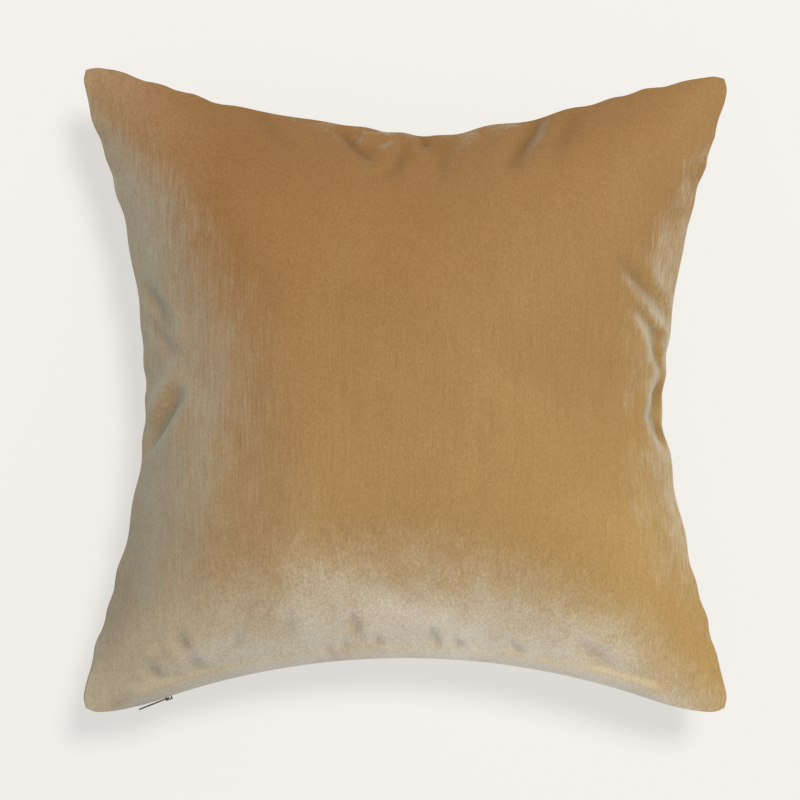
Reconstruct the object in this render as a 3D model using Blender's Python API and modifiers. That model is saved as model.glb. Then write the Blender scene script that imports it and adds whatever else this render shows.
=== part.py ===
"""Square velvet throw pillow: a zipped knife-edge cover over a filled insert.

It lies on its back panel. Metres, +Z up, origin on the floor under the middle of the pillow,
+Z out of the front panel, and the zip in the side that faces -Y.
"""

import math

import bmesh
import bpy
from mathutils import Matrix, Vector

# Overall sizes of the filled pillow, ear tip to ear tip
PILLOW_X = 0.4875
PILLOW_Y = 0.4875
FRONT_CROWN = 0.0960  # front panel's middle above the seam
BACK_CROWN = 0.1020  # back panel's middle below the seam, if nothing pressed it flat
FLOOR_DEPTH = 0.0920  # seam above the floor: the panel lies flat where its crown would be deeper

# Outline: how far each side is drawn in between its ears
PLAIN_SIDE_PULL = 0.0500
ZIP_SIDE_PULL = 0.0420
PLAIN_SIDE_POWER = 1.4
TIP_CUT = 0.025  # share by which an ear's tip is rounded off
TIP_POWER = 47.0
INNER_BEND = 2.2  # how fast the drawn-in sides straighten towards the middle
INSET_POWER = 3.0

# Velvet panels
PANEL_THICKNESS = 0.0014
SEAM_GAP = 0.0010  # between the two allowances, where the seam thread lies
ALLOWANCE = 0.0090
FOLD_ROUND = 0.0005

# Sewing
THREAD_DIAMETER = 0.0005
THREAD_INSET = 0.0016
THREAD_END = 0.985  # share of a side's half length that its thread reaches
OVERLOCK_THICKNESS = 0.0010
OVERLOCK_END = 0.95
GAP = 0.0003  # between pieces that touch

# Zip, in the -Y side: its track is one arc about a far centre
TRACK_RADIUS = 0.5600
TRACK_REACH = 0.1820  # half of the stretch of that side that is a true arc
TAPE_START = -0.1960  # along the track, from the middle of the side
TAPE_END = 0.1780
SLIT = 0.0024  # between the panels' folds, for the slider's bridge
ALLOWANCE_TURN = math.radians(50)
FADE = 0.0120  # stretch over which the allowances turn
COIL_CLEARANCE = 0.000515  # coil's middle behind the turned allowances' edges
COIL_DIAMETER = 0.0015
COIL_SLOT = 0.0010  # between the two coils, for the slider's post
TAPE_THICKNESS = 0.0004
TAPE_WIDTH = 0.0100
STOP_LENGTH = 0.0026
STOP_FROM_TAPE_END = 0.0090
TAPE_STITCH_HEIGHT = 0.0086
TAPE_STITCH_DIAMETER = 0.0004

# Slider and pull tab
SLIDER_LENGTH = 0.0090
SLIDER_PLATE = 0.0008
SLIDER_FLANGE = 0.0005
SLIDER_FLANGE_SIDE = 0.0029
POST_LENGTH = 0.0030
BRIDGE_LENGTH = 0.0052
BRIDGE_WINDOW = 0.0034
BRIDGE_THICKNESS = 0.0014
BRIDGE_BAR = 0.0009
BRIDGE_CLEARANCE = 0.00035  # between the bridge's bar and the tab's cross bar
BRIDGE_FOOT = 0.0006  # solid foot between the bridge's window and the plate
CUT_OVERRUN = 0.0010  # how far a cutter runs past what it cuts
TAB_HINGE_OUT = 0.0012  # tab's hinge line outside the seam line
TAB_LENGTH = 0.0240
TAB_WIDTH = 0.0050
TAB_THICKNESS = 0.0008
TAB_BAR_BACK = 0.0004  # cross bar's reach beyond the hinge line
TAB_EYE_START = 0.00045
TAB_EYE_END = 0.0036
TAB_EYE_WIDTH = 0.0024
TAB_REST_TILT = math.radians(3)

# Insert
INSERT_CLEARANCE = 0.0040  # between the cover's allowances and the insert's seam
TICKING_THICKNESS = 0.0006
TICKING_GAP = 0.0007
LAYER_GAP = 0.0006
FILLING_INSET = 0.0010
CLOSING_HALF_LENGTH = 0.0750
INSERT_THREAD_DIAMETER = 0.0003
LABEL_THICKNESS = 0.00025
CARE_LABEL_X = (0.1920, 0.2140)
LABEL_TURN = (0.45, 0.75)  # shares of that clearance where the care label turns up
INSERT_LABEL_TURN = (0.9, 0.8, 0.7)  # and where the insert's own label leaves its seam
INSERT_LABEL_X = (-0.0150, 0.0150)

# Mesh fineness
LINES_X = 18
LINES_Y = 16
SIDE_POINTS = 24

HALF_X = PILLOW_X / 2
HALF_Y = PILLOW_Y / 2
COIL_DEPTH = FOLD_ROUND + ALLOWANCE * math.cos(ALLOWANCE_TURN) + COIL_CLEARANCE
INSERT_INSET = ALLOWANCE + INSERT_CLEARANCE
CARE_LABEL_PATH = (  # distance inside the cover's seam, height
    (0.0030, 0.0),
    (ALLOWANCE + LABEL_TURN[0] * INSERT_CLEARANCE, 0.0),
    (ALLOWANCE + LABEL_TURN[1] * INSERT_CLEARANCE, 0.0020),
    (INSERT_INSET + 0.0025, 0.0140),
)
INSERT_LABEL_PATH = (
    (ALLOWANCE + INSERT_LABEL_TURN[0] * INSERT_CLEARANCE, 0.0),
    (ALLOWANCE + INSERT_LABEL_TURN[1] * INSERT_CLEARANCE, 0.0),
    (ALLOWANCE + INSERT_LABEL_TURN[2] * INSERT_CLEARANCE, 0.0012),
    (INSERT_INSET, 0.0200),
)
TRACK_CENTRE_Y = -HALF_Y + ZIP_SIDE_PULL - TRACK_RADIUS
SLIT_FROM = TAPE_START - 0.003
SLIT_TO = TAPE_END + 0.003
COIL_HEIGHT = (COIL_SLOT + COIL_DIAMETER) / 2
TOP_STOP = TAPE_START + STOP_FROM_TAPE_END
BOTTOM_STOP = TAPE_END - STOP_FROM_TAPE_END
SLIDER_REST = TOP_STOP + STOP_LENGTH / 2 + GAP + SLIDER_LENGTH / 2


# ---------------------------------------------------------------- scene

def clear_scene():
    for old in list(bpy.data.objects):
        bpy.data.objects.remove(old, do_unlink=True)


def new_collection(name):
    made = bpy.data.collections.new(name)
    bpy.context.scene.collection.children.link(made)
    return made


def principled(name, colour, roughness, metallic=0.0):
    made = bpy.data.materials.new(name)
    made.use_nodes = True
    made.diffuse_color = (*colour, 1.0)
    shader = made.node_tree.nodes["Principled BSDF"]
    shader.inputs["Base Color"].default_value = (*colour, 1.0)
    shader.inputs["Roughness"].default_value = roughness
    shader.inputs["Metallic"].default_value = metallic
    return made


def add_object(name, data, material, collection):
    made = bpy.data.objects.new(name, data)
    data.materials.append(material)
    collection.objects.link(made)
    return made


def mesh_object(name, bm, material, collection):
    bmesh.ops.recalc_face_normals(bm, faces=bm.faces)
    mesh = bpy.data.meshes.new(name)
    bm.to_mesh(mesh)
    bm.free()
    mesh.shade_smooth()
    mesh.set_sharp_from_angle(angle=math.radians(40))
    return add_object(name, mesh, material, collection)


# ---------------------------------------------------------------- the pillow's form

def smooth_step(x):
    x = min(max(x, 0.0), 1.0)
    return x * x * (3 - 2 * x)


def plain_side_depth(t):
    """How far a plain side is drawn in, at t from -1 to 1 along it."""
    return PLAIN_SIDE_PULL * max(0.0, 1 - t * t) ** PLAIN_SIDE_POWER


def zip_side_depth(x):
    """The same for the zip's side: an arc along the track, then a curve out to the ear."""
    x = abs(x)
    if x <= TRACK_REACH:
        return ZIP_SIDE_PULL - TRACK_RADIUS + math.sqrt(TRACK_RADIUS**2 - x * x)
    start = ZIP_SIDE_PULL - TRACK_RADIUS + math.sqrt(TRACK_RADIUS**2 - TRACK_REACH**2)
    slope = -TRACK_REACH / math.sqrt(TRACK_RADIUS**2 - TRACK_REACH**2)
    reach = HALF_X - TRACK_REACH
    t = min((x - TRACK_REACH) / reach, 1.0)
    return start * (2 * t**3 - 3 * t**2 + 1) + slope * reach * (t**3 - 2 * t**2 + t)


def plan(u, v, inset=0.0):
    """Place on the panel, seen from above, for u and v from -1 to 1 across it."""
    x = HALF_X * u - math.copysign(plain_side_depth(v) * abs(u) ** INNER_BEND, u)
    depth = plain_side_depth(u) if v > 0 else zip_side_depth(HALF_X * u)
    y = HALF_Y * v - math.copysign(depth * abs(v) ** INNER_BEND, v)
    tip = 1 - TIP_CUT * abs(u * v) ** TIP_POWER
    x = x * tip - inset * math.copysign(abs(u) ** INSET_POWER, u)
    y = y * tip - inset * math.copysign(abs(v) ** INSET_POWER, v)
    return x, y


def crown(u, v):
    """Height of the crowned form, as a share of its middle height."""
    return math.sqrt(max(0.0, 1 - u * u) * max(0.0, 1 - v * v))


def in_zip(u, v):
    """1 along the zip, 0 elsewhere, fading at its ends and away from its side."""
    x = HALF_X * u
    start, end = track_x(SLIT_FROM), track_x(SLIT_TO)
    along = smooth_step((x - start) / FADE + 1) * smooth_step((end - x) / FADE + 1)
    return along * max(0.0, -v) ** 8


def fold(u, v):
    """Half of the gap between the two panels' folds."""
    return (SEAM_GAP + in_zip(u, v) * (SLIT - SEAM_GAP)) / 2


def height(side, u, v, layer, edge):
    """Distance from the seam's plane of a surface that lies layer inside the outer skin."""
    middle = FRONT_CROWN if side > 0 else BACK_CROWN
    rise = edge + (middle - layer - edge) * crown(u, v)
    return rise if side > 0 else min(rise, FLOOR_DEPTH - layer)


def spaced(count):
    """Lines across a panel, close together near its edges, where the form curves most."""
    return [math.sin(math.pi / 2 * (2 * i / count - 1)) for i in range(count + 1)]


def lines_across():
    """Lines along X, with four more where the zip's allowances turn."""
    turns = [
        track_x(SLIT_FROM) - FADE,
        track_x(SLIT_FROM),
        track_x(SLIT_TO),
        track_x(SLIT_TO) + FADE,
    ]
    extra = [x / HALF_X for x in turns]
    near = FADE / 2 / HALF_X
    kept = [u for u in spaced(LINES_X) if abs(u) == 1 or min(abs(u - e) for e in extra) > near]
    return sorted(kept + extra)


def skin(bm, lines_u, lines_v, place):
    """A grid of faces on place(u, v), and its border as one loop of (u, v, vertex)."""
    rows = [[(u, v, bm.verts.new(place(u, v))) for u in lines_u] for v in lines_v]
    for low, high in zip(rows, rows[1:]):
        for i in range(len(lines_u) - 1):
            bm.faces.new((low[i][2], low[i + 1][2], high[i + 1][2], high[i][2]))
    right = [row[-1] for row in rows[1:]]
    left = [row[0] for row in reversed(rows[1:-1])]
    return rows[0] + right + list(reversed(rows[-1]))[1:] + left


def loop_like(bm, border, place):
    return [(u, v, bm.verts.new(place(u, v))) for u, v, _ in border]


def join(bm, first, second):
    for i in range(len(first)):
        j = (i + 1) % len(first)
        bm.faces.new((first[i][2], first[j][2], second[j][2], second[i][2]))


def at(u, v, inset, side, z):
    x, y = plan(u, v, inset)
    return Vector((x, y, FLOOR_DEPTH + side * z))


# ---------------------------------------------------------------- the zip's track

def track_x(along):
    return TRACK_RADIUS * math.sin(along / TRACK_RADIUS)


def track_point(along, inward, z=0.0):
    """A point on the track: along it from its middle, and inward from the seam line."""
    angle = along / TRACK_RADIUS
    reach = TRACK_RADIUS + inward
    return Vector((
        reach * math.sin(angle),
        TRACK_CENTRE_Y + reach * math.cos(angle),
        FLOOR_DEPTH + z,
    ))


def track_path(start, end, inward, z=0.0):
    step = (end - start) / SIDE_POINTS
    return [track_point(start + i * step, inward, z) for i in range(SIDE_POINTS + 1)]


# ---------------------------------------------------------------- wires and strips

def new_curve(name, dimensions, outlines, closed=False):
    data = bpy.data.curves.new(name, "CURVE")
    data.dimensions = dimensions
    data.resolution_u = 1
    for points in outlines:
        spline = data.splines.new("POLY")
        spline.points.add(len(points) - 1)
        for target, point in zip(spline.points, points):
            target.co = (*point, 1.0)
        spline.use_cyclic_u = closed
    return data


def wire(name, points, diameter, material, collection, sides=4):
    made = add_object(name, new_curve(name, "3D", [points]), material, collection)
    made.data.bevel_depth = diameter / 2
    made.data.bevel_resolution = sides // 2 - 2
    made.data.use_fill_caps = True
    return made


def thicken(obj, thickness):
    made = obj.modifiers.new("Thickness", "SOLIDIFY")
    made.thickness = thickness
    made.offset = 0.0
    made.use_even_offset = True


def strip(name, points, width, thickness, material, collection):
    """A strip that stands on its edge along level points, width tall about them."""
    flat = [(x, y, 0.0) for x, y, _ in points]
    made = add_object(name, new_curve(name, "2D", [flat]), material, collection)
    made.location.z = points[0][2]
    made.data.extrude = width / 2
    thicken(made, thickness)


def side_path(name, inset, end):
    """Points along one side of the cover, inside its seam line, at the panels' own lines."""
    lines = lines_across() if name == "top" else spaced(LINES_Y)
    share = [t for t in lines if abs(t) < end]
    places = {
        "left": lambda t: (-1.0, t),
        "right": lambda t: (1.0, t),
        "top": lambda t: (t, 1.0),
    }
    return [at(*places[name](t), inset, 1, 0.0) for t in share]


def zip_side_path(x_from, x_to, inset, count=SIDE_POINTS):
    xs = [x_from + (x_to - x_from) * i / count for i in range(count + 1)]
    return [at(x / HALF_X, -1.0, inset, 1, 0.0) for x in xs]


# ---------------------------------------------------------------- cover

def build_panel(name, side, material, collection):
    """One velvet panel: outer skin, fold at the seam, turned-in allowance and inner skin."""
    bm = bmesh.new()
    lines_u, lines_v = lines_across(), spaced(LINES_Y)

    def allowance_end(u, v):
        turn = ALLOWANCE_TURN * in_zip(u, v)
        inset = FOLD_ROUND + ALLOWANCE * math.cos(turn)
        return inset, fold(u, v) + ALLOWANCE * math.sin(turn), turn

    def raw_edge_low(u, v):
        inset, z, _ = allowance_end(u, v)
        return at(u, v, inset, side, z)

    def raw_edge_high(u, v):
        inset, z, turn = allowance_end(u, v)
        inset -= PANEL_THICKNESS * math.sin(turn)
        return at(u, v, inset, side, z + PANEL_THICKNESS * math.cos(turn))

    def outer_skin(u, v):
        edge = fold(u, v) + PANEL_THICKNESS
        return at(u, v, 0.0, side, height(side, u, v, 0.0, edge))

    def inner_skin(u, v):
        edge = fold(u, v) + PANEL_THICKNESS
        return at(u, v, PANEL_THICKNESS, side, height(side, u, v, PANEL_THICKNESS, edge))

    outer = skin(bm, lines_u, lines_v, outer_skin)
    folded = loop_like(bm, outer, lambda u, v: at(u, v, FOLD_ROUND, side, fold(u, v)))
    low = loop_like(bm, outer, raw_edge_low)
    high = loop_like(bm, outer, raw_edge_high)
    inner = skin(bm, lines_u, lines_v, inner_skin)
    for first, second in ((outer, folded), (folded, low), (low, high), (high, inner)):
        join(bm, first, second)
    mesh_object(name, bm, material, collection)


def build_seam_threads(material, collection):
    for name in ("left", "top", "right"):
        points = side_path(name, THREAD_INSET, THREAD_END)
        wire(f"seam_thread_{name}", points, THREAD_DIAMETER, material, collection)
    ear = HALF_X * THREAD_END
    starts = {
        "bottom_left": (-ear, track_x(SLIT_FROM) - FADE - GAP),
        "bottom_right": (track_x(SLIT_TO) + FADE + GAP, ear),
    }
    for name, (x_from, x_to) in starts.items():
        points = zip_side_path(x_from, x_to, THREAD_INSET, SIDE_POINTS // 3)
        wire(f"seam_thread_{name}", points, THREAD_DIAMETER, material, collection)


def build_overlocks(material, collection):
    """Edge stitching that wraps the raw edges of the two allowances along the plain sides."""
    inset = FOLD_ROUND + ALLOWANCE + GAP + OVERLOCK_THICKNESS / 2
    width = SEAM_GAP + 2 * PANEL_THICKNESS
    for name in ("left", "top", "right"):
        points = side_path(name, inset, OVERLOCK_END)
        strip(f"overlock_{name}", points, width, OVERLOCK_THICKNESS, material, collection)


def build_label(name, edge_v, x_range, path, material, collection):
    """A blank label, caught in a seam at one end; path holds (inset, height) pairs."""
    bm = bmesh.new()
    near, far = (
        [bm.verts.new(at(x / HALF_X, edge_v, inset, 1, z)) for inset, z in path] for x in x_range
    )
    for i in range(len(path) - 1):
        bm.faces.new((near[i], far[i], far[i + 1], near[i + 1]))
    thicken(mesh_object(name, bm, material, collection), LABEL_THICKNESS)


# ---------------------------------------------------------------- zip

def build_tapes(tape, coil, thread, collection):
    """Each half of the zip: woven tape, coil along its edge and the row of stitches that holds it."""
    tape_low = COIL_HEIGHT + COIL_DIAMETER / 2 + GAP
    stitch_in = COIL_DEPTH + TAPE_THICKNESS / 2 + GAP + TAPE_STITCH_DIAMETER / 2
    coil_from = TOP_STOP + STOP_LENGTH / 2 + GAP
    coil_to = BOTTOM_STOP - STOP_LENGTH / 2 - GAP
    for name, side in (("front", 1), ("back", -1)):
        middle = side * (tape_low + TAPE_WIDTH / 2)
        points = track_path(TAPE_START, TAPE_END, COIL_DEPTH, middle)
        strip(f"zip_tape_{name}", points, TAPE_WIDTH, TAPE_THICKNESS, tape, collection)
        points = track_path(coil_from, coil_to, COIL_DEPTH, side * COIL_HEIGHT)
        wire(f"zip_coil_{name}", points, COIL_DIAMETER, coil, collection, sides=6)
        points = track_path(TAPE_START + FADE / 2, TAPE_END - FADE / 2, stitch_in, side * TAPE_STITCH_HEIGHT)
        wire(f"zip_stitch_{name}", points, TAPE_STITCH_DIAMETER, thread, collection)


def box(bm, low, high):
    """A box between two corners."""
    low, high = Vector(low), Vector(high)
    size = high - low
    matrix = Matrix.Translation((low + high) / 2) @ Matrix.Diagonal((*size, 1.0))
    return bmesh.ops.create_cube(bm, size=1.0, matrix=matrix)["verts"]


def place_on_track(obj, along):
    """Puts an object's origin on the seam line, its X along the track and its Y inward."""
    obj.location = track_point(along, 0.0)
    obj.rotation_euler.z = -along / TRACK_RADIUS


def bevel(obj, width, segments=1):
    made = obj.modifiers.new("Edges", "BEVEL")
    made.width = width
    made.segments = segments
    made.limit_method = "ANGLE"
    made.angle_limit = math.radians(40)


def build_stops(material, collection):
    half = COIL_DIAMETER / 2 + GAP
    outside = COIL_HEIGHT + COIL_DIAMETER / 2
    inside = COIL_SLOT / 2
    heights = {
        "zip_top_stop_front": (TOP_STOP, inside, outside),
        "zip_top_stop_back": (TOP_STOP, -outside, -inside),
        "zip_bottom_stop": (BOTTOM_STOP, -outside, outside),
    }
    for name, (along, low, high) in heights.items():
        bm = bmesh.new()
        box(bm, (-STOP_LENGTH / 2, COIL_DEPTH - half, low), (STOP_LENGTH / 2, COIL_DEPTH + half, high))
        stop = mesh_object(name, bm, material, collection)
        bevel(stop, 0.0002)
        place_on_track(stop, along)


def cut(obj, name, low, high, cutters):
    """Cuts a box out of obj, in its own coordinates."""
    bm = bmesh.new()
    box(bm, low, high)
    mesh = bpy.data.meshes.new(name)
    bm.to_mesh(mesh)
    bm.free()
    cutter = bpy.data.objects.new(name, mesh)
    cutters.objects.link(cutter)
    cutter.parent = obj
    cutter.hide_render = True
    cutter.display_type = "WIRE"
    made = obj.modifiers.new(name, "BOOLEAN")
    made.operation = "DIFFERENCE"
    made.object = cutter


def build_slider(material, collection, cutters):
    """Two plates joined by a post between the coils, with a bridge out through the slit."""
    channel = COIL_DIAMETER / 2 + GAP
    plate_out = COIL_DEPTH - channel - SLIDER_PLATE
    plate_in = COIL_DEPTH + channel + SLIDER_PLATE
    half_long = SLIDER_LENGTH / 2
    half_wide = SLIDER_FLANGE_SIDE + SLIDER_FLANGE
    half_post = COIL_SLOT / 2 - GAP
    half_tape = TAPE_THICKNESS / 2 + GAP
    bar_in = -TAB_HINGE_OUT - TAB_EYE_START - BRIDGE_CLEARANCE
    bar_out = bar_in - BRIDGE_BAR

    bm = bmesh.new()
    half_bridge = (BRIDGE_LENGTH / 2, BRIDGE_THICKNESS / 2)
    rows = (
        (plate_in, half_long, half_wide),
        (plate_out, half_long, half_wide),
        (plate_out, *half_bridge),
        (bar_out, *half_bridge),
    )
    rings = [
        [bm.verts.new((a * x, y, b * z)) for a, b in ((-1, -1), (1, -1), (1, 1), (-1, 1))]
        for y, x, z in rows
    ]
    for first, second in zip(rings, rings[1:]):
        for i in range(4):
            bm.faces.new((first[i], first[(i + 1) % 4], second[(i + 1) % 4], second[i]))
    bm.faces.new(rings[0])
    bm.faces.new(rings[-1])

    pivot = bpy.data.objects.new("zip_track_centre", None)
    collection.objects.link(pivot)
    pivot.location = (0.0, TRACK_CENTRE_Y, FLOOR_DEPTH)
    pivot.rotation_euler.z = -SLIDER_REST / TRACK_RADIUS
    slider = mesh_object("zip_slider_body", bm, material, collection)
    slider.parent = pivot
    slider.location = (0.0, TRACK_RADIUS, 0.0)

    past = half_long + CUT_OVERRUN
    low_in, high_in = COIL_DEPTH - channel, COIL_DEPTH + channel
    for name, side in (("front", 1), ("back", -1)):
        z_near, z_far = sorted((side * half_post, side * SLIDER_FLANGE_SIDE))
        cut(slider, f"channel_{name}", (-past, low_in, z_near), (past, high_in, z_far), cutters)
        slot_from, slot_to = SLIDER_FLANGE_SIDE - SLIDER_FLANGE, half_wide + CUT_OVERRUN
        z_near, z_far = sorted((side * slot_from, side * slot_to))
        low, high = COIL_DEPTH - half_tape, COIL_DEPTH + half_tape
        cut(slider, f"tape_slot_{name}", (-past, low, z_near), (past, high, z_far), cutters)
    behind_post = POST_LENGTH - half_long
    cut(
        slider,
        "behind_post",
        (behind_post, low_in, -2 * half_post),
        (past, high_in, 2 * half_post),
        cutters,
    )
    window = BRIDGE_WINDOW / 2
    window_in = plate_out - BRIDGE_FOOT
    cut(
        slider,
        "bridge_window",
        (-window, bar_in, -BRIDGE_THICKNESS),
        (window, window_in, BRIDGE_THICKNESS),
        cutters,
    )
    return slider


def build_pull_tab(slider, material, collection):
    """A flat tab on a cross bar under the bridge, lying along the seam."""
    half = TAB_WIDTH / 2
    nose = half * 0.8
    end = TAB_LENGTH - nose
    outline = [(TAB_BAR_BACK, half, 0.0), (TAB_BAR_BACK, -half, 0.0)]
    for i in range(11):
        turn = math.pi * (i / 10 - 0.5)
        outline.append((-end - nose * math.cos(turn), half * math.sin(turn), 0.0))
    near, far, wide = -TAB_EYE_START, -TAB_EYE_END, TAB_EYE_WIDTH / 2
    eye = [(near, -wide, 0.0), (far, -wide, 0.0), (far, wide, 0.0), (near, wide, 0.0)]
    data = new_curve("zip_pull_tab", "2D", [outline, eye], closed=True)
    data.fill_mode = "BOTH"
    data.extrude = TAB_THICKNESS / 2
    tab = add_object("zip_pull_tab", data, material, collection)
    tab.parent = slider
    tab.location = (0.0, -TAB_HINGE_OUT, 0.0)
    tab.rotation_euler = (math.pi / 2, 0.0, TAB_REST_TILT)


# ---------------------------------------------------------------- insert

def layered(side, layer, inset, edge):
    """A place(u, v) on a surface inside the cover."""
    return lambda u, v: at(u, v, inset, side, height(side, u, v, layer, edge))


def build_ticking(name, side, material, collection):
    """One half of the insert's cotton case, a thin shell that ends at its seam."""
    bm = bmesh.new()
    lines_u, lines_v = lines_across(), spaced(LINES_Y)
    outside = PANEL_THICKNESS + LAYER_GAP
    inside = outside + TICKING_THICKNESS
    rim = TICKING_GAP / 2
    outer = skin(bm, lines_u, lines_v, layered(side, outside, INSERT_INSET, rim))
    inset = INSERT_INSET + TICKING_THICKNESS
    inner = skin(bm, lines_u, lines_v, layered(side, inside, inset, rim))
    join(bm, outer, inner)
    mesh_object(name, bm, material, collection)


def build_filling(material, collection):
    """The filling as it is pressed to shape inside its case."""
    bm = bmesh.new()
    lines_u, lines_v = lines_across(), spaced(LINES_Y)
    layer = PANEL_THICKNESS + LAYER_GAP + TICKING_THICKNESS + LAYER_GAP
    inset = INSERT_INSET + TICKING_THICKNESS + FILLING_INSET
    upper = skin(bm, lines_u, lines_v, layered(1, layer, inset, GAP))
    lower = skin(bm, lines_u, lines_v, layered(-1, layer, inset, GAP))
    join(bm, upper, lower)
    mesh_object("insert_filling", bm, material, collection)


def build_insert_threads(material, collection):
    """The insert's seam, and the stretch of it that is closed after filling."""
    inset = INSERT_INSET + TICKING_THICKNESS / 2
    closing = zip_side_path(-CLOSING_HALF_LENGTH, CLOSING_HALF_LENGTH, inset)
    wire("insert_closing_thread", closing, INSERT_THREAD_DIAMETER, material, collection)
    start = (CLOSING_HALF_LENGTH + 2 * INSERT_THREAD_DIAMETER) / HALF_X
    lines = spaced(LINES_Y)
    bottom_right = [(u, -1.0) for u in [start] + [u for u in lines if u > start]]
    right = [(1.0, v) for v in lines[1:]]
    top = [(u, 1.0) for u in reversed(lines[:-1])]
    left = [(-1.0, v) for v in reversed(lines[:-1])]
    bottom_left = [(-u, v) for u, v in reversed(bottom_right[:-1])]
    places = bottom_right + right + top + left + bottom_left
    points = [at(u, v, inset, 1, 0.0) for u, v in places]
    wire("insert_seam_thread", points, INSERT_THREAD_DIAMETER, material, collection)


# ---------------------------------------------------------------- the pillow

def main():
    clear_scene()
    pillow = new_collection("throw_pillow")
    cutters = new_collection("cutters")
    cutters.hide_render = True

    velvet = principled("velvet", (0.400, 0.220, 0.088), 0.85)
    thread = principled("sewing_thread", (0.330, 0.185, 0.080), 0.70)
    overlock = principled("overlock_thread", (0.420, 0.260, 0.120), 0.80)
    tape = principled("zip_tape", (0.300, 0.180, 0.085), 0.85)
    coil = principled("zip_coil", (0.230, 0.130, 0.060), 0.45)
    metal = principled("zip_metal", (0.240, 0.165, 0.090), 0.38, 1.0)
    cotton = principled("insert_cotton", (0.820, 0.800, 0.750), 0.90)
    feather = principled("insert_filling", (0.860, 0.840, 0.800), 0.95)
    label = principled("label_satin", (0.850, 0.840, 0.810), 0.55)

    build_panel("front_panel", 1, velvet, pillow)
    build_panel("back_panel", -1, velvet, pillow)
    build_seam_threads(thread, pillow)
    build_overlocks(overlock, pillow)
    build_label("care_label", -1.0, CARE_LABEL_X, CARE_LABEL_PATH, label, pillow)
    build_tapes(tape, coil, thread, pillow)
    build_stops(metal, pillow)
    slider = build_slider(metal, pillow, cutters)
    build_pull_tab(slider, metal, pillow)
    build_ticking("insert_case_front", 1, cotton, pillow)
    build_ticking("insert_case_back", -1, cotton, pillow)
    build_insert_threads(cotton, pillow)
    build_label("insert_label", 1.0, INSERT_LABEL_X, INSERT_LABEL_PATH, label, pillow)
    build_filling(feather, pillow)


main()
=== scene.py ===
import math

import bmesh
import bpy
import numpy as np
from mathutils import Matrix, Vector


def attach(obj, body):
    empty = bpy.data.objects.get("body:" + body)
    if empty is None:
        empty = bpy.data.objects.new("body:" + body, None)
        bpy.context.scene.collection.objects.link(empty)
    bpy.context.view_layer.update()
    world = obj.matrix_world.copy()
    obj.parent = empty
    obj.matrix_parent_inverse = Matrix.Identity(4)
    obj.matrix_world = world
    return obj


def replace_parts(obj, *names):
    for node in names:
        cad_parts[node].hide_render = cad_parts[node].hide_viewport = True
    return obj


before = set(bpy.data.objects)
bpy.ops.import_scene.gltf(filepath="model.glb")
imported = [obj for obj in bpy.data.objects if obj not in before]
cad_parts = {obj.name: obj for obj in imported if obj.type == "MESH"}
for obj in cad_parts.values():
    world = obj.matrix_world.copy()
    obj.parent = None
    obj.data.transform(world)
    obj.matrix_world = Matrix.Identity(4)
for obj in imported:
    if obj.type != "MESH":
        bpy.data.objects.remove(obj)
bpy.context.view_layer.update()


# ---------------------------------------------------------------- cover, its cut and its filled shape
# Two squares of cotton velvet, about 50 cm from seam to seam, sewn right sides together and
# turned out. Filled, the sides draw in between the corners, which stay behind as soft ears.

CUT_SIDE = 0.5000
HALF = 0.24375
SEAM_HEIGHT = 0.0920
TOP_PULL, LEFT_PULL, RIGHT_PULL, ZIP_PULL = 0.0495, 0.0485, 0.0470, 0.0420
TOP_SKEW, SIDE_POWER = 0.055, 1.4
EAR_DROP, EAR_FROM, EAR_SPAN = 0.0068, 0.55, 0.45
SEAM_WAVE = 0.0007
SIDE_POINTS, PLAN_POINTS = 4001, 1500
# place, half width and depth of the dips where tucks gather a plain side
DIPS = {
    "top": ((0.018, 0.030, 0.0045), (-0.150, 0.040, 0.0035)),
    "left": ((0.150, 0.045, 0.0033), (-0.020, 0.018, 0.0012)),
    "right": ((-0.016, 0.030, 0.0045),),
}
TIP_CUT, TIP_POWER = 0.018, 27.3
TRACK_RADIUS, TRACK_REACH = 0.5600, 0.1820
FRONT_HEIGHT, BACK_DEPTH = 0.0955, 0.1020
START_HEIGHT, START_NOISE = 0.0850, 0.0006
DOME_POWER, DOME_ROUND = 2.6, 0.68
CELLS, BLOW_STEPS = 64, 32
EASE = 0.012
PRESSURE = 4.0
SMOOTH_PASSES = 10
LUMP, LUMP_COUNT, LUMP_FULL = 0.0007, 14, 0.05


def eased(x):
    """0 up to 0, 1 from 1 on, and a smooth step between them."""
    x = np.clip(x, 0.0, 1.0)
    return x * x * (3 - 2 * x)


def plain_draw(t, pull, side):
    """How far a plain side is drawn in, with its dips and the small waves of a hand-turned seam."""
    free, shift = np.maximum(0.0, 1 - t * t), 1.7 * len(side)
    drawn = pull * free**SIDE_POWER
    for place, width, depth in DIPS[side]:
        drawn = drawn + depth * free * np.exp(-(((HALF * t - place) / width) ** 2))
    wave = np.sin(t * 41 + 2 * np.sin(t * 9) + shift) + 0.7 * np.sin(t * 27 + 2 * shift)
    return drawn + SEAM_WAVE * wave * np.minimum(1, 3 * free)


def zip_draw(x):
    """The zip's side: one arc along the track, then a curve out to the ear."""
    x = np.abs(x)
    sag = ZIP_PULL - TRACK_RADIUS
    arc = sag + np.sqrt(TRACK_RADIUS**2 - np.minimum(x, TRACK_REACH) ** 2)
    start = sag + math.sqrt(TRACK_RADIUS**2 - TRACK_REACH**2)
    slope = -TRACK_REACH / math.sqrt(TRACK_RADIUS**2 - TRACK_REACH**2)
    reach = HALF - TRACK_REACH
    t = np.clip((x - TRACK_REACH) / reach, 0.0, 1.0)
    ear = start * (2 * t**3 - 3 * t**2 + 1) + slope * reach * (t**3 - 2 * t**2 + t)
    return np.where(x <= TRACK_REACH, arc, ear)


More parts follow.
